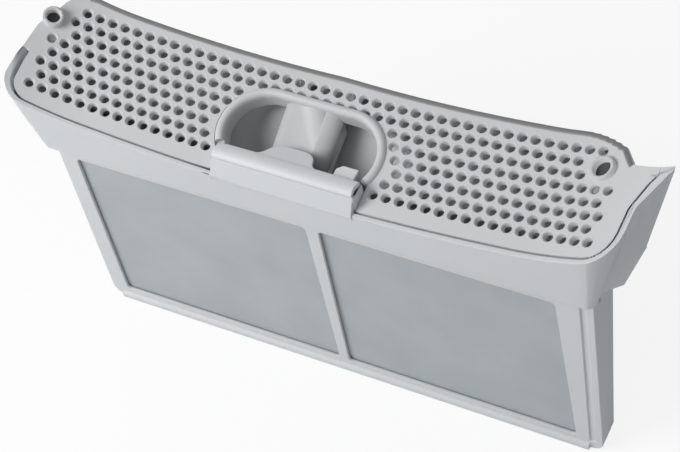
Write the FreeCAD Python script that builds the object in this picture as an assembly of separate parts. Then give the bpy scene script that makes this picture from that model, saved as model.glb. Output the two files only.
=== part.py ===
"""Folding fluff filter of a tumble dryer.

The filter is a flat pocket that hangs in a slot under the dryer's door. A front half and a rear
half open like a book about the bottom edge. The rear half carries a curved perforated grille with
a grip opening, and the front half carries the casing band, the lip and a sprung thumb latch.

Sizes are in millimetres. X runs along the length, Y towards the back and Z up. The origin is the
middle of the slot's mouth, level with the underside of the casing, where the filter hangs.
"""

import FreeCAD
import Part

import math
import os

from FreeCAD import Vector

# General wall and clearances
wall = 2.0
running_gap = 0.7
seat_gap = 0.8
gauze_thickness = 0.5
gauze_lap = 2.0

# Pocket, the flat box below the casing
pocket_width = 234.0
pocket_depth = 108.0
pocket_front_y = -10.3
pocket_mouth_rear_y = 10.0
pocket_foot_rear_y = 1.8
pocket_corner_radius = 5.0

# Casing outline at the seat, where it stands on the slot
seat_left_x = -117.8
seat_right_x = 119.3
seat_front_y = -16.2
seat_flare_y = -7.5
seat_left_radius = 3.0
seat_right_radius = 3.0
seat_flare_radius = 1.0

# Casing outline at the rim, near the top of both ends
rim_height = 42.0
rim_left_x = -129.0
rim_right_x = 129.6
rim_left_front_y = -22.0
rim_right_front_y = -20.6
rim_flare_y = 1.5
rim_left_radius = 10.0
rim_right_radius = 13.0
rim_flare_radius = 6.0
rim_rear_y = 35.1
rim_rear_bow = 3.0
rim_rear_right_x = 109.0
rim_rear_left_x = -115.5
rim_rear_right_radius = 42.0
rim_rear_left_radius = 13.0
shoulder_height = 18.0
shoulder_draft = 1.4
crown_height = 62.0
corner_chords = 6

# Ear, the pointed end of the right side, and the planes that part the two halves
ear_seat_x = 126.0
ear_seat_y = -1.0
ear_shoulder_x = 132.6
ear_rim_x = 137.6
ear_rim_y = 11.5
ear_thickening = 2.2
left_parting_x = -124.9
left_parting_y = 0.0
left_end_relief = 1.2
left_end_thickening = 1.8

# Grille, a sheet that curves up towards both ends and leans forward
grille_middle_y = 10.0
grille_middle_z = 24.0
grille_tilt = 13.7
grille_thickness = 2.0
grille_middle_radius = 582.0
grille_end_radius = 111.0
grille_bend_start = 90.0
grille_half_length = 152.0
grille_half_depth = 45.0
grille_flat_step = 11.0
grille_end_step = 5.5

# Perforation
hole_pitch = 5.5
hole_diameter = 4.3
hole_row_step = 5.16
hole_sides = 6
dimple_depth = 0.8

# Grip opening with its collar
grip_x = -6.0
grip_centre_depth = -6.0
grip_half_straight = 16.2
collar_radius = 19.0
collar_wall = 3.8
collar_top = 2.2
collar_skirt = 6.0
lip_x = -4.3
lip_half_length = 30.2
slot_reach = 7.0

# Bridge under the thumb tongue
bridge_x = -7.7
bridge_width = 24.6
bridge_wall = 1.8
bridge_corner_radius = 6.0
bridge_front_y = 2.0
bridge_front_z = 17.6
bridge_rear_z = 27.2
bridge_foot_z = 6.0
bridge_foot_rear_z = 13.5

# Locating sockets on the grille
left_socket_x = -119.5
left_socket_depth = 10.2
left_socket_radius = 4.2
left_socket_height = 3.0
right_socket_x = 112.0
right_socket_depth = 10.6
right_socket_radius = 4.9
right_socket_height = 1.8
socket_wall = 1.4
socket_floor = 0.9
socket_foot = 0.3

# Lip of the front half and the latch bar above it
lip_bottom_z = 16.6
lip_seam_y = -15.0
lip_seam_z = 24.7
lip_bulge = 0.6
bar_ridge_y = -12.2
bar_ridge_z = 27.4
bar_rear_y = -7.3
bar_rear_z = 25.4
bar_thickness = 2.0
bar_left_trim = 0.4
bar_right_trim = 1.6
seam_gap = 0.3
tongue_width = 26.0
tongue_reach = 9.0
tongue_slope = 0.35
catch_x = 21.6
catch_width = 8.6
catch_reach = 6.6
catch_top_z = 23.2
latch_axis_y = -11.5
latch_axis_z = 19.5
latch_pin_radius = 1.2
latch_lug_x = 24.0
latch_lug_thickness = 2.0
latch_arm_thickness = 2.5
pin_clearance = 0.05

# Hinge along the foot of the pocket
hinge_y = -1.2
hinge_z = -104.3
hinge_barrel_radius = 3.2
hinge_pin_radius = 1.5
hinge_pin_length = 1.6

# Windows of the mesh frames
window_top_z = -11.5
window_bottom_z = -102.0
window_left_x = -109.0
window_right_top_x = 101.4
window_right_bottom_x = 105.5
window_corner_radius = 2.0
rib_top_width = 5.7
rib_bottom_width = 4.5
rear_rail = 8.0
rear_window_bottom = 9.0
foot_ledge_height = 3.5
foot_ledge_reach = 1.6
bead_width = 3.2
groove_width = 2.4
groove_depth = 0.8
clip_window_y = -4.0
clip_window_z = -9.0
clip_window_width = 1.2
clip_window_height = 4.0
clip_arm_height = 9.0
roundel_x = 98.0
roundel_z = 8.5
roundel_radius = 4.6
roundel_depth = 0.3


def mix(first, second, share):
    """Points that lie the given share of the way from one outline to another."""
    return [
        (a[0] + (b[0] - a[0]) * share, a[1] + (b[1] - a[1]) * share)
        for a, b in zip(first, second)
    ]


def cross(a, b):
    """Z component of the cross product of two flat vectors."""
    return a[0] * b[1] - a[1] * b[0]


def unit(a, b):
    """Flat unit vector from one point to another."""
    length = math.hypot(b[0] - a[0], b[1] - a[1])
    return ((b[0] - a[0]) / length, (b[1] - a[1]) / length)


def inset_points(points, distance):
    """Corners of the outline moved inwards, for points that run anticlockwise."""
    moved = []
    for index, point in enumerate(points):
        ahead = points[(index + 1) % len(points)]
        before = unit(points[index - 1], point)
        after = unit(point, ahead)
        normal_before = (-before[1], before[0])
        normal_after = (-after[1], after[0])
        turn = 1.0 + normal_before[0] * normal_after[0] + normal_before[1] * normal_after[1]
        reach = distance / turn
        moved.append(
            (
                point[0] + (normal_before[0] + normal_after[0]) * reach,
                point[1] + (normal_before[1] + normal_after[1]) * reach,
            )
        )
    return moved


def inset_radii(points, radii, distance):
    """Corner radii of the inset outline: outer corners tighten and inner ones open."""
    changed = []
    for index, radius in enumerate(radii):
        if radius == 0:
            changed.append(0)
            continue
        ahead = points[(index + 1) % len(points)]
        bend = cross(unit(points[index - 1], points[index]), unit(points[index], ahead))
        changed.append(max(radius - math.copysign(distance, bend), 0.5))
    return changed


def rounded_corners(points, radii, z):
    """Start, middle and end of each corner's arc at a height; a sharp corner has no middle."""
    corners = []
    for index, point in enumerate(points):
        here = Vector(point[0], point[1], z)
        if radii[index] == 0:
            corners.append((here, None, here))
            continue
        back = unit(point, points[index - 1])
        forth = unit(point, points[(index + 1) % len(points)])
        back = Vector(back[0], back[1], 0)
        forth = Vector(forth[0], forth[1], 0)
        half = back.getAngle(forth) / 2
        reach = radii[index] / math.tan(half)
        inward = (back + forth).normalize()
        middle = here + inward * (radii[index] / math.sin(half) - radii[index])
        corners.append((here + back * reach, middle, here + forth * reach))
    return corners


def rounded_wire(points, radii, z):
    """Closed wire at a height, with each corner rounded by its radius."""
    corners = rounded_corners(points, radii, z)
    edges = []
    for index, (start, middle, end) in enumerate(corners):
        if middle is not None:
            edges.append(Part.Arc(start, middle, end).toShape())
        following = corners[(index + 1) % len(corners)][0]
        edges.append(Part.LineSegment(end, following).toShape())
    return Part.Wire(edges)


def chorded_ring(points, radii, z):
    """Points of an outline at a height, with each rounded corner drawn as chords."""
    ring = []
    for start, middle, end in rounded_corners(points, radii, z):
        if middle is None:
            ring.append(start)
        else:
            ring += Part.Arc(start, middle, end).toShape().discretize(Number=corner_chords + 1)
    return ring


def flat_face(corners):
    """Flat face through its corners."""
    return Part.Face(Part.makePolygon(corners + corners[:1]))


def stacked_solid(rings):
    """Solid between rings of equally many points, from the lowest up, with flat facets."""
    faces = [flat_face(rings[0][::-1]), flat_face(rings[-1])]
    for low, high in zip(rings, rings[1:]):
        for index in range(len(low)):
            ahead = (index + 1) % len(low)
            faces.append(flat_face([low[index], low[ahead], high[ahead]]))
            faces.append(flat_face([low[index], high[ahead], high[index]]))
    solid = Part.Solid(Part.Shell(faces))
    if solid.Volume < 0:
        solid.reverse()
    return solid


def rounded_face(points, radii, z=0.0):
    """Flat face with rounded corners."""
    return Part.Face(rounded_wire(points, radii, z))


def side_prism(points, x_from, x_to):
    """Solid of a side profile, given as (y, z) points, that runs along X."""
    corners = [Vector(x_from, y, z) for y, z in points]
    face = Part.Face(Part.makePolygon(corners + corners[:1]))
    return face.extrude(Vector(x_to - x_from, 0, 0))


def rod(x_from, x_to, y, z, radius):
    """Round bar along X."""
    return Part.makeCylinder(radius, x_to - x_from, Vector(x_from, y, z), Vector(1, 0, 0))


def block(x_from, x_to, y_from, y_to, z_from, z_to):
    """Straight block between two corners."""
    corner = Vector(x_from, y_from, z_from)
    return Part.makeBox(x_to - x_from, y_to - y_from, z_to - z_from, corner)


# Outlines of the casing, anticlockwise from the front left corner. The corners are the front left,
# front right, start of the flare, ear, rear right, rear middle, rear left and left parting corner.
right_parting_slope = (ear_rim_y - ear_seat_y) / rim_height
left_parting_slope = (left_parting_y - ear_seat_y) / rim_height
rim_ear_slope = (ear_rim_x - ear_shoulder_x) / (rim_height - shoulder_height)

seat_points = [
    (seat_left_x, seat_front_y),
    (seat_right_x, seat_front_y),
    (seat_right_x, seat_flare_y),
    (ear_seat_x, ear_seat_y),
    (pocket_width / 2, pocket_mouth_rear_y),
    (0, pocket_mouth_rear_y + 0.05),
    (-pocket_width / 2, pocket_mouth_rear_y),
    (seat_left_x, ear_seat_y),
]
rim_points = [
    (rim_left_x, rim_left_front_y),
    (rim_right_x, rim_right_front_y),
    (rim_right_x, rim_flare_y),
    (ear_rim_x, ear_rim_y),
    (rim_rear_right_x, rim_rear_y - rim_rear_bow),
    (0, rim_rear_y),
    (rim_rear_left_x, rim_rear_y - rim_rear_bow),
    (left_parting_x, left_parting_y),
]
seat_radii = [seat_left_radius, seat_right_radius, seat_flare_radius, 0, 3.0, 0, 3.0, 0]
rim_radii = [
    rim_left_radius,
    rim_right_radius,
    rim_flare_radius,
    0,
    rim_rear_right_radius,
    0,
    rim_rear_left_radius,
    0,
]


def outline_at(height):
    """Corner points and radii of the casing's outer outline at a height."""
    share = height / rim_height
    radii = [a + (b - a) * share for a, b in zip(seat_radii, rim_radii)]
    points = mix(seat_points, rim_points, share)
    if height > 0:
        draft = shoulder_draft * (rim_height - height) / (rim_height - shoulder_height)
        for index in (4, 5, 6):
            points[index] = (points[index][0], rim_points[index][1] - draft)
        ear_x = ear_shoulder_x + rim_ear_slope * (height - shoulder_height)
        points[3] = (ear_x, points[3][1])
    return points, radii


def casing_loft(distance, bottom=0.0):
    """Solid inside the casing's outline, inset by a distance."""
    rings = []
    for height in (0.0, shoulder_height, crown_height):
        share = height / rim_height
        points, radii = outline_at(height)
        inner = inset_points(points, distance)
        if distance > 0:
            inner[0] = (inner[0][0] + left_end_thickening * share, inner[0][1])
            inner[3] = (inner[3][0] - ear_thickening, inner[3][1])
        if distance == wall:
            inner[7] = (inner[7][0] - left_end_relief * share, inner[7][1])
        rings.append(chorded_ring(inner, inset_radii(points, radii, distance), height))
    solid = stacked_solid(rings)
    if bottom > 0:
        solid = solid.cut(block(-300, 300, -100, 100, -1, bottom))
    return solid


def parting_half(side, gap):
    """Space on one side of the two slanted planes between the halves."""
    reach = 300.0
    halves = []
    for x_from, x_to, slope in ((-reach, 0, left_parting_slope), (0, reach, right_parting_slope)):
        front = ear_seat_y - 50 * slope
        back = ear_seat_y + 100 * slope
        profile = [
            (front + side * gap, -50),
            (back + side * gap, 100),
            (back + side * reach, 100),
            (front + side * reach, -50),
        ]
        halves.append(side_prism(profile, x_from, x_to))
    return halves[0].fuse(halves[1]).removeSplitter()


# The grille's own frame leans forward about X and sits on the middle of the grille.
def place_grille(shape):
    """Move a shape from the grille's own frame to the filter's frame."""
    moved = shape.copy()
    moved.rotate(Vector(0, 0, 0), Vector(1, 0, 0), grille_tilt)
    moved.translate(Vector(0, grille_middle_y, grille_middle_z))
    return moved


def arc_point(length, offset=0.0):
    """Point on the grille's curve at an arc length from the middle, and its slope angle."""
    bend = math.copysign(min(abs(length), grille_bend_start), length)
    angle = bend / grille_middle_radius
    radius = grille_middle_radius
    x = radius * math.sin(angle)
    z = radius * (1 - math.cos(angle))
    rest = length - bend
    turn = angle + rest / grille_end_radius
    x += grille_end_radius * (math.sin(turn) - math.sin(angle))
    z += grille_end_radius * (math.cos(angle) - math.cos(turn))
    return Vector(x - offset * math.sin(turn), 0, z + offset * math.cos(turn)), turn


def curve_stops():
    """Arc lengths at which the grille's curve is cut into short flats, so each hole stays light."""
    ends = int((grille_half_length - bend_share()) / grille_end_step)
    flats = int(round(bend_share() / grille_flat_step))
    stops = [grille_flat_step * index for index in range(flats + 1)]
    stops += [bend_share() + grille_end_step * index for index in range(1, ends + 1)]
    return [-stop for stop in reversed(stops[1:])] + stops


def bend_share():
    """Arc length of the gently curved middle, in whole flats."""
    return grille_flat_step * round(grille_bend_start / grille_flat_step)


def curve_points(offset):
    """Points along the grille's curve, offset along its normal."""
    return [arc_point(length, offset)[0] for length in curve_stops()]


def swept_face(points):
    """Solid swept along the grille's depth from a closed outline, in the filter's frame."""
    face = Part.Face(Part.makePolygon(points + points[:1]))
    face.translate(Vector(0, -2 * grille_half_depth, 0))
    return place_grille(face.extrude(Vector(0, 4 * grille_half_depth, 0)))


def curved_slab(lower, upper):
    """Slab between two offsets of the grille's curve, in the filter's frame."""
    return swept_face(curve_points(lower) + curve_points(upper)[::-1])


def above_curve(offset):
    """Everything above the grille's curve at an offset, in the filter's frame."""
    top = 150.0
    low = curve_points(offset)
    roof = [Vector(low[-1].x, 0, top), Vector(low[0].x, 0, top)]
    return swept_face(low + roof)


def stadium(radius, low, high):
    """Upright stadium of the grip opening, in the grille's frame."""
    straight = grip_half_straight
    points = [
        (grip_x - straight - radius, grip_centre_depth - radius),
        (grip_x + straight + radius, grip_centre_depth - radius),
        (grip_x + straight + radius, grip_centre_depth + radius),
        (grip_x - straight - radius, grip_centre_depth + radius),
    ]
    face = rounded_face(points, [radius * 0.999] * 4, low)
    return face.extrude(Vector(0, 0, high - low))


# Rows of the perforation from the rear: row, first and last column, blind columns, and the
# first and last column that the grip opening takes away.
hole_rows = (
    (-2, -20, 20, (-3, 1), None),
    (-1, -20.5, 18.5, (), None),
    (0, -20, 19, (), (-6, 4)),
    (1, -21.5, 21.5, (-21.5, 20.5), (-6.5, 4.5)),
    (2, -21, 21, (), (-7, 5)),
    (3, -21.5, 21.5, (), (-7.5, 5.5)),
    (4, -21, 21, (), (-7, 5)),
    (5, -21.5, 21.5, (), (-6.5, 4.5)),
)
middle_row = 1.5


def hole_places():
    """Arc length, depth and blindness of each hole."""
    places = []
    for row, first, last, blind, gone in hole_rows:
        depth = (middle_row - row) * hole_row_step
        for step in range(int(round(last - first)) + 1):
            column = first + step
            if gone and gone[0] <= column <= gone[1]:
                continue
            places.append((column * hole_pitch, depth, column in blind))
    return places


def hole_cutter(length, depth, blind):
    """Prism that cuts one hole or blind dimple square to the sheet, in the grille's frame."""
    centre, turn = arc_point(length)
    floor = -dimple_depth if blind else -2.5 * grille_thickness
    corner_radius = hole_diameter / 2
    corners = []
    for side in range(hole_sides + 1):
        angle = 2 * math.pi * (side + 0.5) / hole_sides
        corners.append(Vector(corner_radius * math.cos(angle), corner_radius * math.sin(angle), 0))
    prism = Part.Face(Part.makePolygon(corners)).extrude(Vector(0, 0, grille_thickness - floor))
    prism.translate(Vector(0, 0, floor))
    prism.rotate(Vector(0, 0, 0), Vector(0, 1, 0), -math.degrees(turn))
    prism.translate(Vector(centre.x, depth, centre.z))
    return prism


def upright_tube(length, depth, radius, low, high):
    """Round post square to the sheet at a place on the grille, in the grille's frame."""
    centre, turn = arc_point(length)
    post = Part.makeCylinder(radius, high - low, Vector(0, 0, low))
    post.rotate(Vector(0, 0, 0), Vector(0, 1, 0), -math.degrees(turn))
    post.translate(Vector(centre.x, depth, centre.z))
    return post


def length_at(x):
    """Arc length on the grille at a distance along X."""
    low, high = 0.0, grille_half_length
    for _ in range(40):
        middle = (low + high) / 2
        if arc_point(middle)[0].x < abs(x):
            low = middle
        else:
            high = middle
    return math.copysign(low, x)


def make_bridge():
    """Hollow bridge from the rear of the collar down to the thumb tongue."""
    half = bridge_width / 2
    rear_y = grille_middle_y + grip_centre_depth + collar_radius - collar_wall / 2

    def arch(inset, front):
        top_rear = bridge_rear_z - inset
        top_front = bridge_front_z - inset
        body = side_prism(
            [
                (front, bridge_foot_z),
                (front, top_front),
                (rear_y, top_rear),
                (rear_y, bridge_foot_rear_z),
            ],
            bridge_x - half + inset,
            bridge_x + half - inset,
        )
        return body

    outer = arch(0.0, bridge_front_y)
    shoulders = [
        edge
        for edge in outer.Edges
        if edge.BoundBox.YLength > 5
        and edge.BoundBox.XLength < 0.01
        and edge.CenterOfMass.z > bridge_foot_z + 5
    ]
    outer = outer.makeFillet(bridge_corner_radius, shoulders)
    inner = arch(bridge_wall, bridge_front_y + bridge_wall)
    inner_shoulders = [
        edge
        for edge in inner.Edges
        if edge.BoundBox.YLength > 5
        and edge.BoundBox.XLength < 0.01
        and edge.CenterOfMass.z > bridge_foot_z + 5
    ]
    inner = inner.makeFillet(bridge_corner_radius - bridge_wall, inner_shoulders)
    drop = inner.copy()
    drop.translate(Vector(0, 0, -1.0))
    return outer.cut(inner.fuse(drop))


def rear_side():
    """Rear part of the casing's outline, solid."""
    return casing_loft(0.0).common(parting_half(1, running_gap / 2))


def socket_sizes():
    """Place, radius and height of the two locating sockets."""
    return (
        (left_socket_x, left_socket_depth, left_socket_radius, left_socket_height),
        (right_socket_x, right_socket_depth, right_socket_radius, right_socket_height),
    )


def make_grille():
    """Perforated grille with collar, bridge and locating sockets."""
    sheet = curved_slab(-grille_thickness, 0.0)
    plate = sheet.common(casing_loft(wall + running_gap)).fuse(sheet.common(rear_side()))
    plate = plate.removeSplitter()
    cutters = [place_grille(hole_cutter(*place)) for place in hole_places()]
    plate = plate.cut(Part.makeCompound(cutters))
    collar = place_grille(stadium(collar_radius, -collar_skirt, collar_top))
    opening = place_grille(stadium(collar_radius - collar_wall, -40, 40))
    slot_half = lip_half_length + running_gap
    slot = block(
        lip_x - slot_half,
        lip_x + slot_half,
        -60,
        grip_centre_depth - collar_radius + collar_wall + slot_reach,
        -40,
        40,
    )
    slot = place_grille(slot)
    plate = plate.fuse(collar).cut(opening).cut(slot)
    plate = plate.fuse(make_bridge())
    for x, depth, radius, height in socket_sizes():
        length = length_at(x)
        foot = socket_foot - grille_thickness
        boss = upright_tube(length, depth, radius, foot, height)
        bore = upright_tube(length, depth, radius - socket_wall, foot + socket_floor, height + 1)
        plate = plate.fuse(place_grille(boss)).cut(place_grille(bore))
    return plate.removeSplitter()


def window_points(left_top, left_bottom, right_top, right_bottom, bottom, top):
    """Corners of a mesh window, anticlockwise in X and Z."""
    return [
        (left_bottom, bottom),
        (right_bottom, bottom),
        (right_top, top),
        (left_top, top),
    ]


def upright_panel(points, radius, y_from, y_to):
    """Plate in the X and Z plane between two depths, with rounded corners."""
    face = rounded_face(points, [radius] * len(points))
    solid = face.extrude(Vector(0, 0, y_to - y_from))
    solid.rotate(Vector(0, 0, 0), Vector(1, 0, 0), 90)
    solid.translate(Vector(0, y_to, 0))
    return solid


front_windows = {
    "left": window_points(
        window_left_x,
        window_left_x,
        -rib_top_width / 2,
        -rib_bottom_width / 2,
        window_bottom_z,
        window_top_z,
    ),
    "right": window_points(
        rib_top_width / 2,
        rib_bottom_width / 2,
        window_right_top_x,
        window_right_bottom_x,
        window_bottom_z,
        window_top_z,
    ),
}


def make_pocket_front():
    """Front frame, end walls and foot of the pocket."""
    half = pocket_width / 2
    profile = [
        (pocket_front_y, 0),
        (pocket_front_y, -pocket_depth),
        (pocket_foot_rear_y, -pocket_depth),
        (pocket_mouth_rear_y, 0),
    ]
    body = side_prism(profile, -half, half)
    corners = [
        edge
        for edge in body.Edges
        if edge.BoundBox.YLength > 5
        and edge.BoundBox.XLength < 0.01
        and edge.CenterOfMass.z < -pocket_depth + 1
    ]
    body = body.makeFillet(pocket_corner_radius, corners)
    inner_front = pocket_front_y + wall
    hollow = block(
        -half + wall,
        half - wall,
        inner_front,
        pocket_mouth_rear_y + 20,
        -pocket_depth + wall,
        20,
    )
    body = body.cut(hollow)
    barrel_room = rod(
        -half + wall,
        half - wall,
        hinge_y,
        hinge_z,
        hinge_barrel_radius + running_gap,
    )
    foot_room = block(
        -half + wall,
        half - wall,
        hinge_y,
        pocket_mouth_rear_y + 20,
        -pocket_depth - 1,
        hinge_z,
    )
    body = body.cut(barrel_room.fuse(foot_room))
    seat_room = block(
        -half - 1,
        half + 1,
        ear_seat_y - running_gap / 2,
        pocket_mouth_rear_y + 20,
        -seat_gap,
        1,
    )
    body = body.cut(seat_room)
    for points in front_windows.values():
        cutter = upright_panel(points, window_corner_radius, pocket_front_y - 5, inner_front + 5)
        body = body.cut(cutter)
        rebate = inset_points(points, -gauze_lap)
        rebate = upright_panel(rebate, window_corner_radius, inner_front - gauze_thickness, 0)
        body = body.cut(rebate)
    pin_room = hinge_pin_radius + pin_clearance
    body = body.cut(rod(-half - 1, half + 1, hinge_y, hinge_z, pin_room))
    ledge = side_prism(
        [
            (pocket_front_y, -pocket_depth),
            (pocket_front_y - foot_ledge_reach, -pocket_depth),
            (pocket_front_y - foot_ledge_reach, -pocket_depth + foot_ledge_height - 1),
            (pocket_front_y, -pocket_depth + foot_ledge_height),
        ],
        -half + pocket_corner_radius,
        half - bead_width - groove_width,
    )
    body = body.fuse(ledge)
    groove = block(
        half - bead_width - groove_width,
        half - bead_width,
        pocket_front_y - 1,
        pocket_front_y + groove_depth,
        -pocket_depth + pocket_corner_radius,
        1,
    )
    body = body.cut(groove)
    clip_window = block(
        -half - 1,
        half + 1,
        clip_window_y - clip_window_width / 2,
        clip_window_y + clip_window_width / 2,
        clip_window_z - clip_window_height / 2,
        clip_window_z + clip_window_height / 2,
    )
    return body.cut(clip_window)


def lip_profile(inset):
    """Side profile of the lip's front wall."""
    rim_y = (rim_left_front_y + rim_right_front_y) / 2
    front_low = seat_front_y + (rim_y - seat_front_y) * lip_bottom_z / rim_height - lip_bulge
    return [
        (front_low + inset, lip_bottom_z - 1.5),
        (front_low + inset, lip_bottom_z),
        (lip_seam_y + inset, lip_seam_z),
        (lip_seam_y + wall, lip_seam_z),
        (front_low + lip_bulge + wall, lip_bottom_z),
        (front_low + lip_bulge + wall, lip_bottom_z - 1.5),
    ]


def make_casing():
    """Band and end wings of the casing that belong to the front half."""
    hollow = casing_loft(wall, wall)
    shell = casing_loft(0.0).cut(hollow)
    shell = shell.common(parting_half(-1, running_gap / 2))
    shell = shell.cut(above_curve(0.0))
    half = pocket_width / 2
    throat = block(
        -half + wall, half - wall, pocket_front_y + wall, pocket_mouth_rear_y + 20, -1, wall + 1
    )
    return shell.cut(throat)


def make_front_shell():
    """Front half: casing band, lip and front mesh frame in one moulding."""
    body = make_casing().fuse(make_pocket_front())
    lip = side_prism(lip_profile(0.0), lip_x - lip_half_length, lip_x + lip_half_length)
    body = body.fuse(lip)
    for side in (-1, 1):
        centre = lip_x + side * latch_lug_x
        lug = side_prism(
            [
                (seat_front_y - 1.0, lip_bottom_z - 2),
                (latch_axis_y + 2.4, lip_bottom_z - 2),
                (latch_axis_y + 2.4, latch_axis_z + 2.2),
                (lip_seam_y + wall - 0.4, latch_axis_z + 3.2),
                (seat_front_y - 0.2, lip_bottom_z),
            ],
            centre - latch_lug_thickness / 2,
            centre + latch_lug_thickness / 2,
        )
        body = body.fuse(lug)
        bore = rod(
            centre - latch_lug_thickness,
            centre + latch_lug_thickness,
            latch_axis_y,
            latch_axis_z,
            latch_pin_radius + pin_clearance,
        )
        body = body.cut(bore)
    mark = Part.makeCylinder(roundel_radius, 4, Vector(roundel_x, -30, roundel_z), Vector(0, 1, 0))
    band_y = seat_front_y + (rim_right_front_y - seat_front_y) * roundel_z / rim_height
    mark.translate(Vector(0, 30 + band_y - 4 + roundel_depth, 0))
    ring = mark.copy()
    core = Part.makeCylinder(
        roundel_radius - 0.8, 20, Vector(roundel_x, -30, roundel_z), Vector(0, 1, 0)
    )
    return body.cut(ring.cut(core))


def make_hood():
    """Funnel walls of the rear half, from the grille down to the pocket."""
    half = pocket_width / 2
    inside = block(-half + wall, half - wall, -100, 100, -1, wall + 1)
    shell = rear_side().cut(casing_loft(wall, wall)).cut(casing_loft(wall).common(inside))
    return shell.cut(above_curve(-grille_thickness))


rear_lean = math.degrees(math.atan((pocket_mouth_rear_y - pocket_foot_rear_y) / pocket_depth))
rear_length = math.hypot(pocket_mouth_rear_y - pocket_foot_rear_y, pocket_depth)


def place_rear(shape):
    """Move a shape from the rear frame's upright pose to its leaning place."""
    moved = shape.copy()
    moved.rotate(Vector(0, 0, 0), Vector(1, 0, 0), -rear_lean)
    moved.translate(Vector(0, pocket_foot_rear_y, -pocket_depth))
    return moved


def rear_windows():
    """Corners of the two rear windows in the upright pose."""
    half = pocket_width / 2 - wall - running_gap
    top = rear_length - rear_rail
    outer = half - rear_rail
    return {
        "left": window_points(
            -outer, -outer, -rib_top_width / 2, -rib_bottom_width / 2, rear_window_bottom, top
        ),
        "right": window_points(
            rib_top_width / 2, rib_bottom_width / 2, outer, outer, rear_window_bottom, top
        ),
    }


def make_rear_shell():
    """Rear half: funnel walls, rear mesh frame and hinge barrel in one moulding."""
    half = pocket_width / 2 - wall - running_gap
    frame = block(-half, half, -wall, 0, hinge_z + pocket_depth, rear_length + 0.6)
    for points in rear_windows().values():
        frame = frame.cut(upright_panel(points, window_corner_radius, -wall - 5, 5))
        rebate = inset_points(points, -gauze_lap)
        frame = frame.cut(
            upright_panel(rebate, window_corner_radius, -wall - 5, gauze_thickness - wall)
        )
    frame = place_rear(frame)
    barrel = rod(-half, half, hinge_y, hinge_z, hinge_barrel_radius)
    pin_reach = half + running_gap + hinge_pin_length
    pins = rod(-pin_reach, pin_reach, hinge_y, hinge_z, hinge_pin_radius)
    body = frame.fuse(barrel).fuse(pins).fuse(make_hood())
    for side in (-1, 1):
        inner = side * (half - wall)
        outer = side * half
        arm = block(
            min(inner, outer),
            max(inner, outer),
            clip_window_y - 1.5,
            pocket_mouth_rear_y - 1.0,
            clip_window_z - clip_arm_height / 2,
            clip_window_z + clip_arm_height / 2,
        )
        body = body.fuse(arm)
    return body.removeSplitter()


def make_front_gauze(points):
    """Sheet of filter gauze behind a front window."""
    inner_front = pocket_front_y + wall
    lapped = inset_points(points, -gauze_lap)
    return upright_panel(lapped, window_corner_radius, inner_front - gauze_thickness, inner_front)


def make_rear_gauze(points):
    """Sheet of filter gauze in front of a rear window."""
    lapped = inset_points(points, -gauze_lap)
    sheet = upright_panel(lapped, window_corner_radius, -wall, gauze_thickness - wall)
    return place_rear(sheet)


def make_latch_bar():
    """Sprung thumb bar with its tongue, catch and pivot arms."""
    low_front = (lip_seam_y, lip_seam_z + seam_gap)
    profile = [
        low_front,
        (lip_seam_y + 0.3, lip_seam_z + 1.4),
        (bar_ridge_y - 1.2, bar_ridge_z - 0.3),
        (bar_ridge_y + 0.6, bar_ridge_z),
        (bar_rear_y - 1.0, bar_rear_z + 0.9),
        (bar_rear_y, bar_rear_z),
        (bar_rear_y, bar_rear_z - 3.5),
        (bar_rear_y - bar_thickness, bar_rear_z - 3.5),
        (bar_rear_y - bar_thickness, bar_rear_z - 0.8),
        (bar_ridge_y, bar_ridge_z - bar_thickness),
        (lip_seam_y + bar_thickness, lip_seam_z + seam_gap),
    ]
    left = lip_x - lip_half_length + bar_left_trim
    right = lip_x + lip_half_length - bar_right_trim
    bar = side_prism(profile, left, right)
    half = tongue_width / 2
    outline = [
        (grip_x - half - 4, bar_rear_y - 1),
        (grip_x + half + 4, bar_rear_y - 1),
        (grip_x + half - 2, bar_rear_y + 0.5),
        (grip_x + half - 5, bar_rear_y + tongue_reach),
        (grip_x - half + 5, bar_rear_y + tongue_reach),
        (grip_x - half + 2, bar_rear_y + 0.5),
    ]
    tongue = rounded_face(outline, [0, 0, 5.0, 6.5, 6.5, 5.0], -bar_thickness)
    tongue = tongue.extrude(Vector(0, 0, bar_thickness))
    tongue.rotate(
        Vector(0, bar_rear_y, 0), Vector(1, 0, 0), -math.degrees(math.atan(tongue_slope))
    )
    tongue.translate(Vector(0, 0, bar_rear_z))
    bar = bar.fuse(tongue)
    catch_points = [
        (catch_x - catch_width, bar_rear_y - 1),
        (catch_x, bar_rear_y - 1),
        (catch_x, bar_rear_y + catch_reach),
        (catch_x - catch_width + 2, bar_rear_y + catch_reach),
        (catch_x - catch_width, bar_rear_y + catch_reach - 2),
    ]
    catch = rounded_face(catch_points, [0] * 5, catch_top_z - bar_thickness)
    bar = bar.fuse(catch.extrude(Vector(0, 0, bar_thickness)))
    for side in (-1, 1):
        inner = latch_lug_x - latch_lug_thickness / 2 - 0.4
        inner_x = lip_x + side * inner
        far_x = lip_x + side * (inner - latch_arm_thickness)
        arm = side_prism(
            [
                (latch_axis_y - 2.0, latch_axis_z - 2.0),
                (latch_axis_y + 2.0, latch_axis_z - 2.0),
                (bar_rear_y - 0.5, bar_rear_z - 1),
                (bar_ridge_y - 0.5, bar_ridge_z - 1.5),
                (latch_axis_y - 2.0, latch_axis_z + 3.0),
            ],
            min(inner_x, far_x),
            max(inner_x, far_x),
        )
        pin_end = lip_x + side * (latch_lug_x + latch_lug_thickness / 2)
        pin = rod(
            min(inner_x, pin_end),
            max(inner_x, pin_end),
            latch_axis_y,
            latch_axis_z,
            latch_pin_radius,
        )
        bar = bar.fuse(arm).fuse(pin)
    return bar.removeSplitter()


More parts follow.
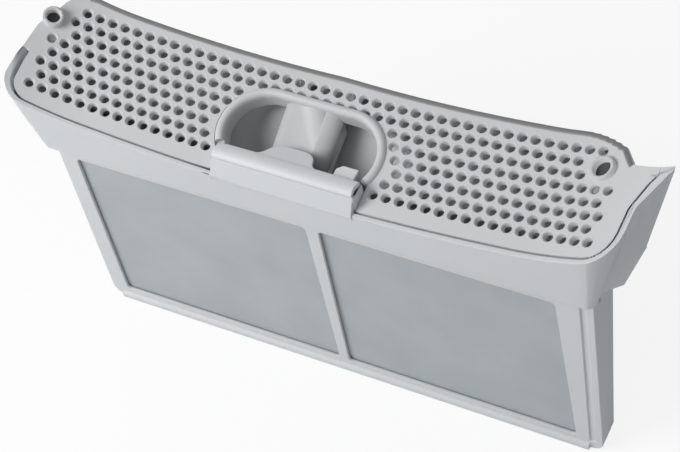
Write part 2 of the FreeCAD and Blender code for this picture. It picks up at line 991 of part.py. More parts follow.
def write(name, shape):
    """Write one piece to its own file."""
    solid = shape.Solids[0] if len(shape.Solids) == 1 else shape
    solid.exportStep(os.path.join("parts", name + ".step"))
    print(name, len(shape.Solids), "solid", shape.isValid(), round(shape.Volume / 1000, 2), "cm3")


os.makedirs("parts", exist_ok=True)
write("front_shell", make_front_shell())
write("rear_shell", make_rear_shell())
write("grille", make_grille())
write("latch_bar", make_latch_bar())
for side, points in front_windows.items():
    write("front_gauze_" + side, make_front_gauze(points))
for side, points in rear_windows().items():
    write("rear_gauze_" + side, make_rear_gauze(points))
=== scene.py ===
"""Looks of a folding tumble dryer fluff filter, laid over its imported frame."""

import math

import bmesh
import bpy
from mathutils import Matrix, Vector


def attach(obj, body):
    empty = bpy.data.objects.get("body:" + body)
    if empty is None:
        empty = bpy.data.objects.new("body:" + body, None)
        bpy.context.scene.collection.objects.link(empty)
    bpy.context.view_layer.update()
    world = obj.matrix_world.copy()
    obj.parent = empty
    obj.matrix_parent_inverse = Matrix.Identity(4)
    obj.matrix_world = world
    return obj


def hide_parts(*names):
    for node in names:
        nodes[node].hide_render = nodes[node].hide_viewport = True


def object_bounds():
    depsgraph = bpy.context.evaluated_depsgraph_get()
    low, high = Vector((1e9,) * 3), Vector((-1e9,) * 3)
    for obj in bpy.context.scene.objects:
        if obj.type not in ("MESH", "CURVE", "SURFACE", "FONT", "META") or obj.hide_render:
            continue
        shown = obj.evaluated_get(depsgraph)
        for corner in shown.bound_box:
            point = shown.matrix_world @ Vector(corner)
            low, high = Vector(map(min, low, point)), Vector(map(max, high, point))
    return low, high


bl_info = {
    "name": "Dryer Fluff Filter",
    "version": (1, 0, 0),
    "blender": (4, 5, 0),
    "location": "View3D > Sidebar > Filter",
    "description": "Dresses the frame of a folding fluff filter in moulded plastic and gauze",
    "category": "Object",
}

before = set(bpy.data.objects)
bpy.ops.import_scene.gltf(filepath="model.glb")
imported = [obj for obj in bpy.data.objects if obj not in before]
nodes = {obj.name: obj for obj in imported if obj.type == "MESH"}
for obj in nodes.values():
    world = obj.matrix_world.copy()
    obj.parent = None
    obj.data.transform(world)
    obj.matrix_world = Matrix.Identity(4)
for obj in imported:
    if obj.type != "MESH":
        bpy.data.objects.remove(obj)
frame_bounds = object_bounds()
mm = 0.001

# Grille sheet, repeated from the part's source, in millimetres
grille_middle = Vector((0.0, 10.0, 24.0))
grille_turn = Matrix.Rotation(math.radians(13.7), 3, "X")
sheet_thickness = 2.0
middle_radius = 582.0
end_radius = 111.0
bend_start = 90.0
bend_turn = bend_start / middle_radius
hole_pitch = 5.5
row_step = 5.16
middle_row = 1.5
dimple_depth = 0.8
collar_centre = Vector((-6.0, -6.0))
collar_straight = 16.2
collar_radius = 19.0
collar_wall = 3.8
collar_top = 2.2
# How far a place may be off the sheet's outer face and still belong to it
sheet_skin = 0.12
# Lip of the front half: its ends, its lower edge, how far its foot goes below that, and its front
lip_left = -34.5
lip_right = 25.9
lip_bottom = 16.6
lip_foot = 1.5
lip_front_y = -18.7
# Cheeks that close the lip's ends: left, right, front and bottom of each, and their back and top
lip_cheeks = (
    (lip_left - 0.5, lip_left + 0.2, -14.8, 16.0),
    (lip_right - 0.3, lip_right + 0.5, -15.4, 15.0),
)
cheek_back = -7.6
cheek_top = 24.4
# Front half's face at the left parting: depth, slope and inner end, and how far it is moved back
parting_y = -1.36
parting_slope = 0.0238
parting_inner_x = -115.5
parting_shift = 0.6
# Roundel: place, reach and floor, and the face of the band that the floor is brought up to
roundel_place = (98.0, 8.5)
roundel_reach = 5.0
roundel_floor_y = -16.79
band_y = -16.17
band_slope = 0.1088
# Thumb bar: how far its solid stops short of the lip's right end, and how much longer it is drawn
bar_gap = 1.6
bar_longer = 1.2
# Frame's plain holes: how far round an axis their walls are moved, and by how much
plain_hole_reach = 2.3
hole_widening = 0.3
# Parts of the sheet's outer edge that the rear strip follows: depth and left end
rear_edge_front = -12.0
rear_edge_left = -111.0
# Height of the gauze's faint waves, in metres
gauze_wave = 0.0001
# Turn above which an edge counts as sharp
sharp_turn = math.radians(35)
# Top, axis, inner radius and depth of the two sockets
sockets = (
    (Vector((-118.231, 15.467, 44.641)), Vector((0.423, -0.2146, 0.8803)), 2.8, 3.8),
    (Vector((111.36, 16.852, 40.648)), Vector((-0.3554, -0.2214, 0.9081)), 3.5, 2.6),
)
# Row, first and last column, blind columns, columns taken away by the grip opening
hole_rows = (
    (-2, -20, 20, (-3, 1), None),
    (-1, -20.5, 18.5, (), None),
    (0, -20, 19, (), (-6, 4)),
    (1, -21.5, 21.5, (-21.5, 20.5), (-6.5, 4.5)),
    (2, -21, 21, (), (-7, 5)),
    (3, -21.5, 21.5, (), (-7.5, 5.5)),
    (4, -21, 21, (), (-7, 5)),
    (5, -21.5, 21.5, (), (-6.5, 4.5)),
)


class FilterSizes(bpy.types.PropertyGroup):
    """Sizes of the filter's finer forms"""

    edge_round: bpy.props.FloatProperty(
        name="Edge rounding",
        description="Radius on the edges of the moulded halves",
        default=0.0004,
        unit="LENGTH",
    )
    hole_diameter: bpy.props.FloatProperty(
        name="Hole diameter",
        description="Diameter of the grille's round holes",
        default=0.0037,
        unit="LENGTH",
    )
    hole_sides: bpy.props.IntProperty(
        name="Hole sides",
        description="Sides of each round hole",
        default=20,
        min=12,
    )
    hole_flare: bpy.props.FloatProperty(
        name="Hole flare",
        description="Widening of each hole towards the sheet's face",
        default=0.00045,
        unit="LENGTH",
    )


class FilterColours(bpy.types.PropertyGroup):
    """Colours of the filter's finishes"""

    shell: bpy.props.FloatVectorProperty(
        name="Casing",
        description="Plastic of the front half",
        default=(0.60, 0.615, 0.625),
        subtype="COLOR",
        min=0.0,
        max=1.0,
    )
    rear: bpy.props.FloatVectorProperty(
        name="Rear half",
        description="Plastic of the rear half",
        default=(0.54, 0.56, 0.56),
        subtype="COLOR",
        min=0.0,
        max=1.0,
    )
    grille: bpy.props.FloatVectorProperty(
        name="Grille",
        description="Plastic of the grille",
        default=(0.60, 0.61, 0.615),
        subtype="COLOR",
        min=0.0,
        max=1.0,
    )
    latch: bpy.props.FloatVectorProperty(
        name="Latch bar",
        description="Plastic of the thumb bar",
        default=(0.68, 0.69, 0.70),
        subtype="COLOR",
        min=0.0,
        max=1.0,
    )
    gauze: bpy.props.FloatVectorProperty(
        name="Gauze",
        description="Woven mesh in the windows",
        default=(0.415, 0.445, 0.465),
        subtype="COLOR",
        min=0.0,
        max=1.0,
    )
    floor: bpy.props.FloatVectorProperty(
        name="Floor",
        description="Studio floor",
        default=(0.9, 0.9, 0.9),
        subtype="COLOR",
        min=0.0,
        max=1.0,
    )


def new_group(name, inputs, outputs):
    """Empty shader node group with named sockets."""
    group = bpy.data.node_groups.new(name, "ShaderNodeTree")
    for socket, kind, value in inputs:
        made = group.interface.new_socket(socket, in_out="INPUT", socket_type=kind)
        made.default_value = value
    for socket, kind in outputs:
        group.interface.new_socket(socket, in_out="OUTPUT", socket_type=kind)
    return group, group.nodes.new("NodeGroupInput"), group.nodes.new("NodeGroupOutput")


def mould_grain():
    """Spark-eroded grain of a moulded surface, with faint flow marks in its colour."""
    if "Mould grain" in bpy.data.node_groups:
        return bpy.data.node_groups["Mould grain"]
    group, start, end = new_group(
        "Mould grain",
        (
            ("Colour", "NodeSocketColor", (0.6, 0.6, 0.6, 1)),
            ("Roughness", "NodeSocketFloat", 0.45),
            ("Grain Scale", "NodeSocketFloat", 2600.0),
            ("Grain Depth", "NodeSocketFloat", 0.15),
        ),
        (
            ("Colour", "NodeSocketColor"),
            ("Roughness", "NodeSocketFloat"),
            ("Height", "NodeSocketFloat"),
        ),
    )
    new, link = group.nodes.new, group.links.new
    place = new("ShaderNodeTexCoord")
    grain = new("ShaderNodeTexNoise")
    grain.inputs["Detail"].default_value = 3.0
    flow = new("ShaderNodeTexNoise")
    flow.inputs["Scale"].default_value = 28.0
    flow.inputs["Detail"].default_value = 2.0
    link(place.outputs["Object"], grain.inputs["Vector"])
    link(place.outputs["Object"], flow.inputs["Vector"])
    link(start.outputs["Grain Scale"], grain.inputs["Scale"])
    shade = new("ShaderNodeMapRange")
    shade.inputs["To Min"].default_value = 0.965
    shade.inputs["To Max"].default_value = 1.035
    link(flow.outputs["Fac"], shade.inputs["Value"])
    tint = new("ShaderNodeVectorMath")
    tint.operation = "SCALE"
    link(start.outputs["Colour"], tint.inputs[0])
    link(shade.outputs["Result"], tint.inputs["Scale"])
    link(tint.outputs["Vector"], end.inputs["Colour"])
    rough = new("ShaderNodeMath")
    rough.operation = "MULTIPLY_ADD"
    rough.inputs[1].default_value = 0.12
    link(flow.outputs["Fac"], rough.inputs[0])
    link(start.outputs["Roughness"], rough.inputs[2])
    link(rough.outputs["Value"], end.inputs["Roughness"])
    depth = new("ShaderNodeMath")
    depth.operation = "MULTIPLY"
    link(grain.outputs["Fac"], depth.inputs[0])
    link(start.outputs["Grain Depth"], depth.inputs[1])
    link(depth.outputs["Value"], end.inputs["Height"])
    return group


def plastic(name, colour, roughness):
    """Moulded plastic finish."""
    material = bpy.data.materials.new(name)
    material.use_nodes = True
    tree = material.node_tree
    shader = tree.nodes["Principled BSDF"]
    shader.inputs["IOR"].default_value = 1.46
    shader.inputs["Specular IOR Level"].default_value = 0.35
    grain = tree.nodes.new("ShaderNodeGroup")
    grain.node_tree = mould_grain()
    grain.inputs["Colour"].default_value = (*colour, 1)
    grain.inputs["Roughness"].default_value = roughness
    bump = tree.nodes.new("ShaderNodeBump")
    bump.inputs["Strength"].default_value = 0.25
    bump.inputs["Distance"].default_value = 0.0001
    tree.links.new(grain.outputs["Colour"], shader.inputs["Base Color"])
    tree.links.new(grain.outputs["Roughness"], shader.inputs["Roughness"])
    tree.links.new(grain.outputs["Height"], bump.inputs["Height"])
    tree.links.new(bump.outputs["Normal"], shader.inputs["Normal"])
    return material


def gauze_weave(name, colour):
    """Woven monofilament gauze that follows the sheet's own grid."""
    material = bpy.data.materials.new(name)
    material.use_nodes = True
    tree = material.node_tree
    new, link = tree.nodes.new, tree.links.new
    shader = tree.nodes["Principled BSDF"]
    shader.inputs["Roughness"].default_value = 0.7
    shader.inputs["Specular IOR Level"].default_value = 0.2
    place = new("ShaderNodeTexCoord")
    heights = []
    for direction in ("X", "Z"):
        threads = new("ShaderNodeTexWave")
        threads.bands_direction = direction
        threads.inputs["Scale"].default_value = 560.0
        link(place.outputs["Object"], threads.inputs["Vector"])
        heights.append(threads.outputs["Fac"])
    weave = new("ShaderNodeMath")
    weave.operation = "MAXIMUM"
    link(heights[0], weave.inputs[0])
    link(heights[1], weave.inputs[1])
    cloud = new("ShaderNodeTexNoise")
    cloud.inputs["Scale"].default_value = 45.0
    link(place.outputs["Object"], cloud.inputs["Vector"])
    shade = new("ShaderNodeMapRange")
    shade.inputs["To Min"].default_value = 0.9
    shade.inputs["To Max"].default_value = 1.1
    link(cloud.outputs["Fac"], shade.inputs["Value"])
    tint = new("ShaderNodeVectorMath")
    tint.operation = "SCALE"
    tint.inputs[0].default_value = colour
    link(shade.outputs["Result"], tint.inputs["Scale"])
    link(tint.outputs["Vector"], shader.inputs["Base Color"])
    bump = new("ShaderNodeBump")
    bump.inputs["Strength"].default_value = 0.3
    bump.inputs["Distance"].default_value = 0.0001
    link(weave.outputs["Value"], bump.inputs["Height"])
    link(bump.outputs["Normal"], shader.inputs["Normal"])
    return material


def new_piece(shape, name):
    """Object made from a bmesh, linked to the scene."""
    mesh = bpy.data.meshes.new(name)
    shape.to_mesh(mesh)
    shape.free()
    mesh.shade_smooth()
    piece = bpy.data.objects.new(name, mesh)
    bpy.context.scene.collection.objects.link(piece)
    return piece


def merged_copy(node, flatten):
    """Mesh of a frame node with its vertices merged, and its facets joined into whole faces."""
    shape = bmesh.new()
    shape.from_mesh(nodes[node].data)
    bmesh.ops.remove_doubles(shape, verts=shape.verts, dist=2e-6)
    if flatten:
        bmesh.ops.dissolve_limit(
            shape, angle_limit=math.radians(0.4), verts=shape.verts, edges=shape.edges
        )
    return shape


def mark_edges(shape, crisp=()):
    """Mark each sharp edge outside the crisp zones, which are given in millimetres."""
    weight = shape.edges.layers.float.new("bevel_weight_edge")
    for edge in shape.edges:
        middle = (edge.verts[0].co + edge.verts[1].co) / 2 / mm
        left_out = any(
            all(low[axis] < middle[axis] < high[axis] for axis in range(3))
            for low, high in crisp
        )
        if edge.calc_face_angle(0) > sharp_turn and not left_out:
            edge[weight] = 1


def round_edges(piece, width):
    """Bevel on every marked edge, with even shading."""
    bevel = piece.modifiers.new("Edge rounding", "BEVEL")
    bevel.width = width
    bevel.segments = 2
    bevel.limit_method = "WEIGHT"
    bevel.use_clamp_overlap = False
    shading = piece.modifiers.new("Even shading", "WEIGHTED_NORMAL")
    shading.weight = 50


def settle(piece, body, node, material):
    """Give a piece its finish and put it in its node's place."""
    piece.data.materials.clear()
    piece.data.materials.append(material)
    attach(piece, body)
    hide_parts(node)


def block(shape, low, high):
    """Add a straight block between two corners, in millimetres."""
    middle = (Vector(low) + Vector(high)) / 2 * mm
    size = (Vector(high) - Vector(low)) * mm
    matrix = Matrix.Translation(middle) @ Matrix.Diagonal((*size, 1))
    bmesh.ops.create_cube(shape, size=1.0, matrix=matrix)


def curve_place(length):
    """Point of the grille's curve in its own frame, and its turn, at an arc length."""
    side = math.copysign(1.0, length)
    gentle = min(abs(length), bend_start)
    turn = gentle / middle_radius
    across = middle_radius * math.sin(turn)
    rise = middle_radius * (1 - math.cos(turn))
    rest = abs(length) - gentle
    if rest > 0:
        tighter = turn + rest / end_radius
        across += end_radius * (math.sin(tighter) - math.sin(turn))
        rise += end_radius * (math.cos(turn) - math.cos(tighter))
        turn = tighter
    return Vector((side * across, 0, rise)), side * turn


def from_grille(point):
    """Point of the grille's own frame, in the filter's frame and metres."""
    return (grille_turn @ point + grille_middle) * mm


def to_grille(point):
    """Point of the filter's frame in the grille's own frame, in millimetres."""
    return grille_turn.transposed() @ (point / mm - grille_middle)


def collar_distance(across, depth):
    """Distance of a place from the spine of the grip opening."""
    low = collar_centre.x - collar_straight
    spine = Vector((min(max(across, low), low + 2 * collar_straight), collar_centre.y))
    return (Vector((across, depth)) - spine).length


def hole_places():
    """Arc length, depth and blindness of each hole."""
    for row, first, last, blind, gone in hole_rows:
        depth = (middle_row - row) * row_step
        for step in range(round(last - first) + 1):
            column = first + step
            if not (gone and gone[0] <= column <= gone[1]):
                yield column * hole_pitch, depth, column in blind


def turn_at(across):
    """Turn of the grille's curve at a place across it."""
    edge = middle_radius * math.sin(bend_turn)
    if abs(across) <= edge:
        return math.asin(across / middle_radius)
    sine = (abs(across) - edge) / end_radius + math.sin(bend_turn)
    return math.copysign(math.asin(min(sine, 0.99)), across)


def sheet_axes(turn):
    """Direction along the grille's curve at a turn, and the sheet's normal there."""
    along = Vector((math.cos(turn), 0, math.sin(turn)))
    normal = Vector((-math.sin(turn), 0, math.cos(turn)))
    return along, normal


def sheet_height(point):
    """Height of a point of the grille's own frame over the sheet's outer face."""
    turn = abs(turn_at(point.x))
    rise = middle_radius * (1 - math.cos(min(turn, bend_turn)))
    if turn > bend_turn:
        rise += end_radius * (math.cos(bend_turn) - math.cos(turn))
    return (point.z - rise) * math.cos(turn)


def hole_sleeves(radius, flare, sides):
    """Flared round walls that line the holes and dimples of the grille."""
    shape = bmesh.new()
    for length, depth, blind in hole_places():
        centre, turn = curve_place(length)
        along, normal = sheet_axes(turn)
        floor = -dimple_depth if blind else -sheet_thickness - 0.05
        # Height over the sheet, and distance from the hole's axis
        profile = (
            (-0.03, radius + flare + 0.55),
            (0.08, radius + flare + 0.3),
            (0.08, radius + flare),
            (-0.05, radius + 0.6 * flare),
            (-0.3, radius + 0.2 * flare),
            (-0.8, radius - 0.3 * flare),
            (floor, radius - 0.9 * flare),
        )
        rings = []
        for height, reach in profile:
            ring = []
            for side in range(sides):
                angle = 2 * math.pi * side / sides
                point = centre + along * reach * math.cos(angle) + normal * height
                point.y = depth + reach * math.sin(angle)
                ring.append(shape.verts.new(from_grille(point)))
            rings.append(ring)
        for low, high in zip(rings, rings[1:]):
            for side in range(sides):
                after = (side + 1) % sides
                shape.faces.new((high[side], high[after], low[after], low[side]))
        if blind:
            shape.faces.new(rings[-1])
    return shape


def widen_holes(shape):
    """Push the walls of the frame's plain holes outwards, clear of their round linings."""
    for length, depth, _ in hole_places():
        centre, turn = curve_place(length)
        along, normal = sheet_axes(turn)
        centre.y = depth
        for vertex in shape.verts:
            gap = to_grille(vertex.co) - centre
            out = Vector((gap.dot(along), gap.y))
            near = abs(gap.dot(normal)) < sheet_thickness + 0.3
            if near and out.length < plain_hole_reach:
                shift = out.normalized() * hole_widening
                vertex.co += grille_turn @ (along * shift.x + Vector((0, shift.y, 0))) * mm


def socket_painted_shade():
    """Near-black discs on the floors of the two sockets: painted shade for their dark hollows."""
    shape = bmesh.new()
    for top, axis, radius, depth in sockets:
        turn = axis.to_track_quat("Z", "Y").to_matrix().to_4x4()
        place = Matrix.Translation((top - axis * (depth - 0.15)) * mm)
        bmesh.ops.create_circle(
            shape, cap_ends=True, segments=32, radius=(radius - 0.1) * mm, matrix=place @ turn
        )
    return new_piece(shape, "socket_painted_shade")


def rear_outline(shape):
    """Points of the sheet's outer edge behind the parting, from left to right."""
    hole_margin = 2.7
    following = {}
    for edge in shape.edges:
        if len(edge.link_faces) != 2:
            continue
        places = [to_grille(vertex.co) for vertex in edge.verts]
        if min(place.y for place in places) < rear_edge_front:
            continue
        if max(abs(sheet_height(place)) for place in places) > sheet_skin:
            continue
        rises = sorted(abs((grille_turn.transposed() @ face.normal).z) for face in edge.link_faces)
        inside = any(
            math.hypot(places[0].x - curve_place(length)[0].x, places[0].y - depth) < hole_margin
            for length, depth, _ in hole_places()
        )
        if rises[0] < 0.5 and rises[1] > 0.7 and not inside:
            for start, end in (edge.verts, reversed(edge.verts)):
                following.setdefault(start, []).append(end)
    ends = [vertex for vertex, near in following.items() if len(near) == 1]
    chains = []
    for end in ends:
        chain = [end]
        while True:
            near = [vertex for vertex in following[chain[-1]] if vertex not in chain[-2:]]
            if not near or near[0] == chain[0]:
                break
            chain.append(near[0])
        chains.append([to_grille(vertex.co) for vertex in chain])
    chain = [place for place in max(chains, key=len) if place.x > rear_edge_left]
    return chain if chain[0].x < chain[-1].x else chain[::-1]


def rolled_edge(points):
    """Rounded-over strip along the sheet's rear edge."""
    # Distance inwards, height over the sheet, and the normal's turn outwards
    profile = (
        (2.1, 0.03, 0.5),
        (1.7, 0.09, 0.95),
        (1.1, 0.09, 1.2),
        (0.5, 0.06, 1.35),
        (0.0, 0.04, 1.45),
        (-0.06, -0.3, 1.52),
        (-0.06, -1.7, 1.57),
    )
    shape = bmesh.new()
    rows = []
    tilts = []
    for index, point in enumerate(points):
        before = points[max(index - 1, 0)]
        after = points[min(index + 1, len(points) - 1)]
        tangent = (after - before).normalized()
        _, normal = sheet_axes(turn_at(point.x))
        out = normal.cross(tangent).normalized()
        row = []
        for inward, height, tilt in profile:
            row.append(shape.verts.new(from_grille(point - out * inward + normal * height)))
            leaning = normal * math.cos(tilt) + out * math.sin(tilt)
            tilts.append(grille_turn @ leaning)
        rows.append(row)
    for low, high in zip(rows, rows[1:]):
        for index in range(len(profile) - 1):
            shape.faces.new((low[index], high[index], high[index + 1], low[index + 1]))
    strip = new_piece(shape, "rear_edge_roll")
    strip.data.normals_split_custom_set_from_vertices(tilts)
    return strip


def smooth_sheet(mesh):
    """Give the sheet's outer face the normals of its true curve."""
    normals = [Vector((0, 0, 0))] * len(mesh.loops)
    for face in mesh.polygons:
        places = [to_grille(mesh.vertices[index].co) for index in face.vertices]
        if max(abs(sheet_height(place)) for place in places) > sheet_skin:
            continue
        for loop, place in zip(face.loop_indices, places):
            _, up = sheet_axes(turn_at(place.x))
            if face.normal.dot(grille_turn @ up) > 0.9:
                normals[loop] = grille_turn @ up
    mesh.normals_split_custom_set(normals)


def lower_collar(shape):
    """Sink the flat top of the collar, which the rolled collar covers."""
    for vertex in shape.verts:
        place = to_grille(vertex.co)
        gap = collar_distance(place.x, place.y)
        inside = collar_radius - collar_wall - 0.3 < gap < collar_radius + 0.3
        if inside and abs(place.z - collar_top) < 0.05:
            place.z = min(0.1, curve_place(abs(place.x))[0].z - 0.4)
            vertex.co = from_grille(place)


def rolled_collar():
    """Rounded roll around the grip opening, open where the lip of the front half stands."""
    # Distance outwards from the collar's radius, and height over the sheet's middle
    profile = (
        (0.05, -0.6),
        (0.0, 0.7),
        (-0.25, 1.25),
        (-0.7, 1.75),
        (-1.3, 2.08),
        (-1.9, 2.18),
        (-2.5, 2.08),
        (-3.1, 1.7),
        (-3.55, 1.1),
        (-3.8, 0.3),
        (-3.85, -1.0),
        (-3.85, -5.9),
    )
    past_half = math.radians(29)
    quarter = math.pi / 2
    steps = 32
    path = []
    for shift, start in ((collar_straight, -past_half), (-collar_straight, quarter)):
        for index in range(steps + 1):
            path.append((shift, start + (quarter + past_half) * index / steps))
    shape = bmesh.new()
    rows = []
    for shift, angle in path:
        row = []
        for inward, height in profile:
            reach = collar_radius + inward
            point = Vector((
                collar_centre.x + shift + reach * math.cos(angle),
                collar_centre.y + reach * math.sin(angle),
                height,
            ))
            row.append(shape.verts.new(from_grille(point)))
        rows.append(row)
    for low, high in zip(rows, rows[1:]):
        for index in range(len(profile) - 1):
            shape.faces.new((low[index], low[index + 1], high[index + 1], high[index]))
        shape.faces.new((low[-1], low[0], high[0], high[-1]))
    shape.faces.new(rows[0])
    shape.faces.new(rows[-1][::-1])
    bmesh.ops.recalc_face_normals(shape, faces=shape.faces)
    collar = new_piece(shape, "collar_roll")
    collar.data.set_sharp_from_angle(angle=math.radians(50))
    return collar


def refine_front(shape):
    """Lift the lip's lower edge, narrow the left parting and bring up the roundel's floor."""
    for vertex in shape.verts:
        x, y, z = vertex.co / mm
        if lip_left - 1 < x < lip_right + 1 and y < lip_front_y:
            if abs(z - lip_bottom) < 0.1:
                vertex.co += Vector((0, 0.1, 0.8)) * mm
            elif abs(z - lip_bottom + lip_foot) < 0.1:
                vertex.co += Vector((0, 0.7, 0.4)) * mm
        on_parting = abs(y - parting_y - parting_slope * z) < 0.08
        if x < parting_inner_x and z > 0.3 and on_parting:
            vertex.co.y += parting_shift * mm
        away = math.hypot(x - roundel_place[0], z - roundel_place[1])
        if away < roundel_reach and abs(y - roundel_floor_y) < 0.03:
            vertex.co.y = (band_y - band_slope * z) * mm
    for left, right, front, bottom in lip_cheeks:
        block(shape, (left, front, bottom), (right, cheek_back, cheek_top))


def stretched_sheet(node, name, wave):
    """Sheet of gauze over a frame node's outline, very slightly wavy."""
    points = [vertex.co.copy() for vertex in nodes[node].data.vertices]
    corners = []
    for side, end in ((-1, -1), (1, -1), (1, 1), (-1, 1)):
        far = max(side * point.x + end * point.z for point in points)
        near = [point for point in points if side * point.x + end * point.z > far - 1e-5]
        corners.append(sum(near, Vector()) / len(near))
    cells = 48
    shape = bmesh.new()
    rows = []
    for row in range(cells + 1):
        rise = row / cells
        left = corners[0].lerp(corners[3], rise)
        right = corners[1].lerp(corners[2], rise)
        line = []
        for column in range(cells + 1):
            share = column / cells
            point = left.lerp(right, share)
            fade = math.sin(math.pi * share) * math.sin(math.pi * rise)
            point.y += wave * fade * math.sin(19 * share + 5 * rise) * math.cos(3 + 7 * rise)
            line.append(shape.verts.new(point))
        rows.append(line)
    for low, high in zip(rows, rows[1:]):
        for column in range(cells):
            shape.faces.new((low[column], low[column + 1], high[column + 1], high[column]))
    sheet = new_piece(shape, name)
    width = ((corners[1] - corners[0]).length + (corners[2] - corners[3]).length) / 2
    length = ((corners[3] - corners[0]).length + (corners[2] - corners[1]).length) / 2
    return sheet, (width, length)


class FILTER_OT_halves(bpy.types.Operator):
    """Moulded front and rear halves with rounded edges"""

    bl_idname = "filter.halves"
    bl_label = "Moulded halves"

    def execute(self, context):
        colours = context.scene.filter_colours
        shell = plastic("Casing plastic", colours.shell, 0.42)
        rear = plastic("Rear plastic", colours.rear, 0.45)
        width = context.scene.filter_sizes.edge_round
        shape = merged_copy("front_shell", True)
        refine_front(shape)
        # Upper end of the left parting, and the roundel
        crisp = (
            ((-140, -6, 20), (-117, 12, 70)),
            ((92, -20, 2), (104, -14, 15)),
        )
        mark_edges(shape, crisp)
        front_half = new_piece(shape, "front_half_shell")
        round_edges(front_half, width)
        settle(front_half, "front_half", "front_shell", shell)
        shape = merged_copy("rear_shell", True)
        mark_edges(shape)
        rear_half = new_piece(shape, "rear_half_shell")
        round_edges(rear_half, width)
        settle(rear_half, "rear_half", "rear_shell", rear)
        return {"FINISHED"}


class FILTER_OT_grille(bpy.types.Operator):
    """Grille with round holes and a rolled collar"""

    bl_idname = "filter.grille"
    bl_label = "Grille"

    def execute(self, context):
        sizes = context.scene.filter_sizes
        material = plastic("Grille plastic", context.scene.filter_colours.grille, 0.4)
        shape = merged_copy("grille", False)
        lower_collar(shape)
        widen_holes(shape)
        outline = rear_outline(shape)
        plate = new_piece(shape, "grille_plate")
        plate.data.set_sharp_from_angle(angle=sharp_turn)
        smooth_sheet(plate.data)
        settle(plate, "rear_half", "grille", material)
        radius = sizes.hole_diameter / 2 / mm
        shape = hole_sleeves(radius, sizes.hole_flare / mm, sizes.hole_sides)
        sleeves = new_piece(shape, "hole_walls")
        smooth_sheet(sleeves.data)
        # Near-black finish of the socket discs: painted shade, not the colour of the plastic
        shade = plastic("Socket painted shade", (0.06, 0.062, 0.064), 0.6)
        pieces = (
            (sleeves, material),
            (rolled_collar(), material),
            (rolled_edge(outline), material),
            (socket_painted_shade(), shade),
        )
        for piece, finish in pieces:
            piece.data.materials.append(finish)
            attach(piece, "rear_half")
        return {"FINISHED"}


class FILTER_OT_latch(bpy.types.Operator):
    """Thumb bar with rounded edges"""

    bl_idname = "filter.latch"
    bl_label = "Latch bar"

    def execute(self, context):
        colours = context.scene.filter_colours
        shape = merged_copy("latch_bar", True)
        # The solid bar was cut short for its collision pieces, so it is drawn longer than it is
        for vertex in shape.verts:
            if abs(vertex.co.x / mm - lip_right + bar_gap) < 0.1:
                vertex.co.x += bar_longer * mm
        mark_edges(shape)
        bar = new_piece(shape, "thumb_bar")
        round_edges(bar, context.scene.filter_sizes.edge_round)
        finish = plastic("Latch plastic", colours.latch, 0.38)
        settle(bar, "latch", "latch_bar", finish)
        return {"FINISHED"}


class FILTER_OT_gauze(bpy.types.Operator):
    """Gauze sheets stretched behind the windows"""

    bl_idname = "filter.gauze"
    bl_label = "Gauze"

    def execute(self, context):
        weave = gauze_weave("Gauze", context.scene.filter_colours.gauze)
        for half in ("front", "rear"):
            for side in ("left", "right"):
                node = half + "_gauze_" + side
                sheet, flat = stretched_sheet(node, half + "_mesh_" + side, gauze_wave)
                sheet.data.materials.append(weave)
                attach(sheet, half + "_half")
                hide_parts(node)
        return {"FINISHED"}


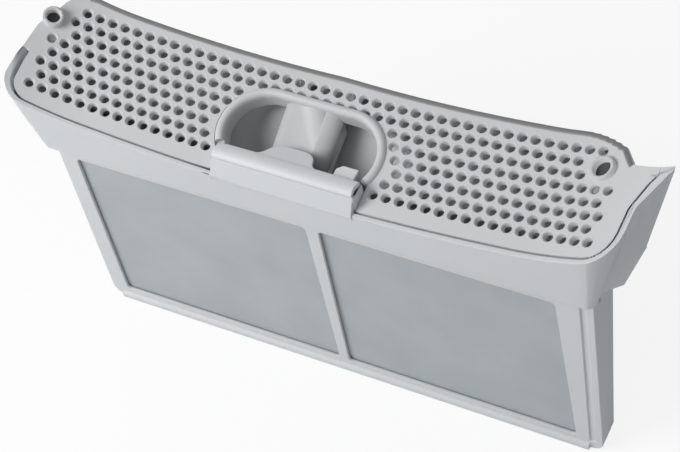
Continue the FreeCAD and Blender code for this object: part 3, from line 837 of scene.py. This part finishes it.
class FILTER_OT_stage(bpy.types.Operator):
    """Build the studio floor, the lamps and the camera"""

    bl_idname = "filter.stage"
    bl_label = "Studio"

    def execute(self, context):
        scene = context.scene
        scene.view_settings.view_transform = "Standard"
        colour = scene.filter_colours.floor

        mesh = bpy.data.meshes.new("Floor")
        shape = bmesh.new()
        bmesh.ops.create_grid(shape, x_segments=1, y_segments=1, size=6.0)
        bmesh.ops.translate(shape, verts=shape.verts, vec=(0, 0, frame_bounds[0][2] - 0.0005))
        shape.to_mesh(mesh)
        shape.free()
        floor = bpy.data.objects.new("Floor", mesh)
        scene.collection.objects.link(floor)
        material = bpy.data.materials.new("Studio floor")
        material.use_nodes = True
        tree = material.node_tree
        shader = tree.nodes["Principled BSDF"]
        shader.inputs["Base Color"].default_value = (*colour, 1)
        shader.inputs["Roughness"].default_value = 0.9
        glow = tree.nodes.new("ShaderNodeEmission")
        glow.inputs["Strength"].default_value = 1.0
        rays = tree.nodes.new("ShaderNodeLightPath")
        share = tree.nodes.new("ShaderNodeMath")
        share.operation = "MULTIPLY"
        share.inputs[1].default_value = 0.85
        mix = tree.nodes.new("ShaderNodeMixShader")
        tree.links.new(rays.outputs["Is Camera Ray"], share.inputs[0])
        tree.links.new(share.outputs["Value"], mix.inputs["Fac"])
        tree.links.new(shader.outputs["BSDF"], mix.inputs[1])
        tree.links.new(glow.outputs["Emission"], mix.inputs[2])
        output = tree.nodes["Material Output"]
        tree.links.new(mix.outputs["Shader"], output.inputs["Surface"])
        floor.data.materials.append(material)

        world = bpy.data.worlds.new("Studio")
        world.use_nodes = True
        sky = world.node_tree.nodes["Background"]
        sky.inputs["Color"].default_value = (0.95, 0.97, 1.0, 1)
        sky.inputs["Strength"].default_value = 0.34
        scene.world = world

        # Name, place, size and power
        lamps = (
            ("Key", (-0.48, -0.5, 0.62), 0.5, 6.6),
            ("Fill", (-0.2, -1.6, 0.4), 1.2, 1.5),
            ("Back", (-0.5, 1.1, 0.9), 1.0, 2.0),
        )
        for name, place, size, power in lamps:
            data = bpy.data.lights.new(name, "AREA")
            data.shape = "SQUARE"
            data.size = size
            data.energy = power
            lamp = bpy.data.objects.new(name, data)
            lamp.location = place
            aim = Vector((0, 0, -0.03)) - lamp.location
            lamp.rotation_euler = aim.to_track_quat("-Z", "Y").to_euler()
            scene.collection.objects.link(lamp)

        data = bpy.data.cameras.new("Camera")
        data.sensor_fit = "HORIZONTAL"
        data.sensor_width = 36.0
        data.lens = 98.71
        data.clip_end = 50.0
        camera = bpy.data.objects.new("Camera", data)
        # Axes and place fitted to the view that the filter is shown in
        right = Vector((0.8891, 0.4341, -0.1453))
        up = Vector((-0.2659, 0.7482, 0.6079))
        back = Vector((0.3725, -0.5018, 0.7806))
        turn = Matrix((right, up, back)).transposed().to_4x4()
        camera.matrix_world = Matrix.Translation((0.2794, -0.3677, 0.5534)) @ turn
        scene.collection.objects.link(camera)
        scene.camera = camera
        return {"FINISHED"}


class FILTER_PT_panel(bpy.types.Panel):
    """Sizes, colours and steps of the filter"""

    bl_idname = "FILTER_PT_panel"
    bl_label = "Fluff filter"
    bl_space_type = "VIEW_3D"
    bl_region_type = "UI"
    bl_category = "Filter"

    def draw(self, context):
        for group in (context.scene.filter_sizes, context.scene.filter_colours):
            for name in group.__annotations__:
                self.layout.prop(group, name)
        for operator in operators:
            self.layout.operator(operator.bl_idname)


groups = (FilterSizes, FilterColours)
operators = (
    FILTER_OT_halves,
    FILTER_OT_grille,
    FILTER_OT_latch,
    FILTER_OT_gauze,
    FILTER_OT_stage,
)


def register():
    """Add the filter's classes and settings."""
    for cls in (*groups, *operators, FILTER_PT_panel):
        bpy.utils.register_class(cls)
    bpy.types.Scene.filter_sizes = bpy.props.PointerProperty(type=FilterSizes)
    bpy.types.Scene.filter_colours = bpy.props.PointerProperty(type=FilterColours)


def unregister():
    """Take the filter's classes and settings away again."""
    del bpy.types.Scene.filter_colours
    del bpy.types.Scene.filter_sizes
    for cls in reversed((*groups, *operators, FILTER_PT_panel)):
        bpy.utils.unregister_class(cls)


def main():
    """Build the whole scene."""
    register()
    bpy.ops.filter.halves()
    bpy.ops.filter.grille()
    bpy.ops.filter.latch()
    bpy.ops.filter.gauze()
    bpy.ops.filter.stage()


if __name__ == "__main__":
    main()
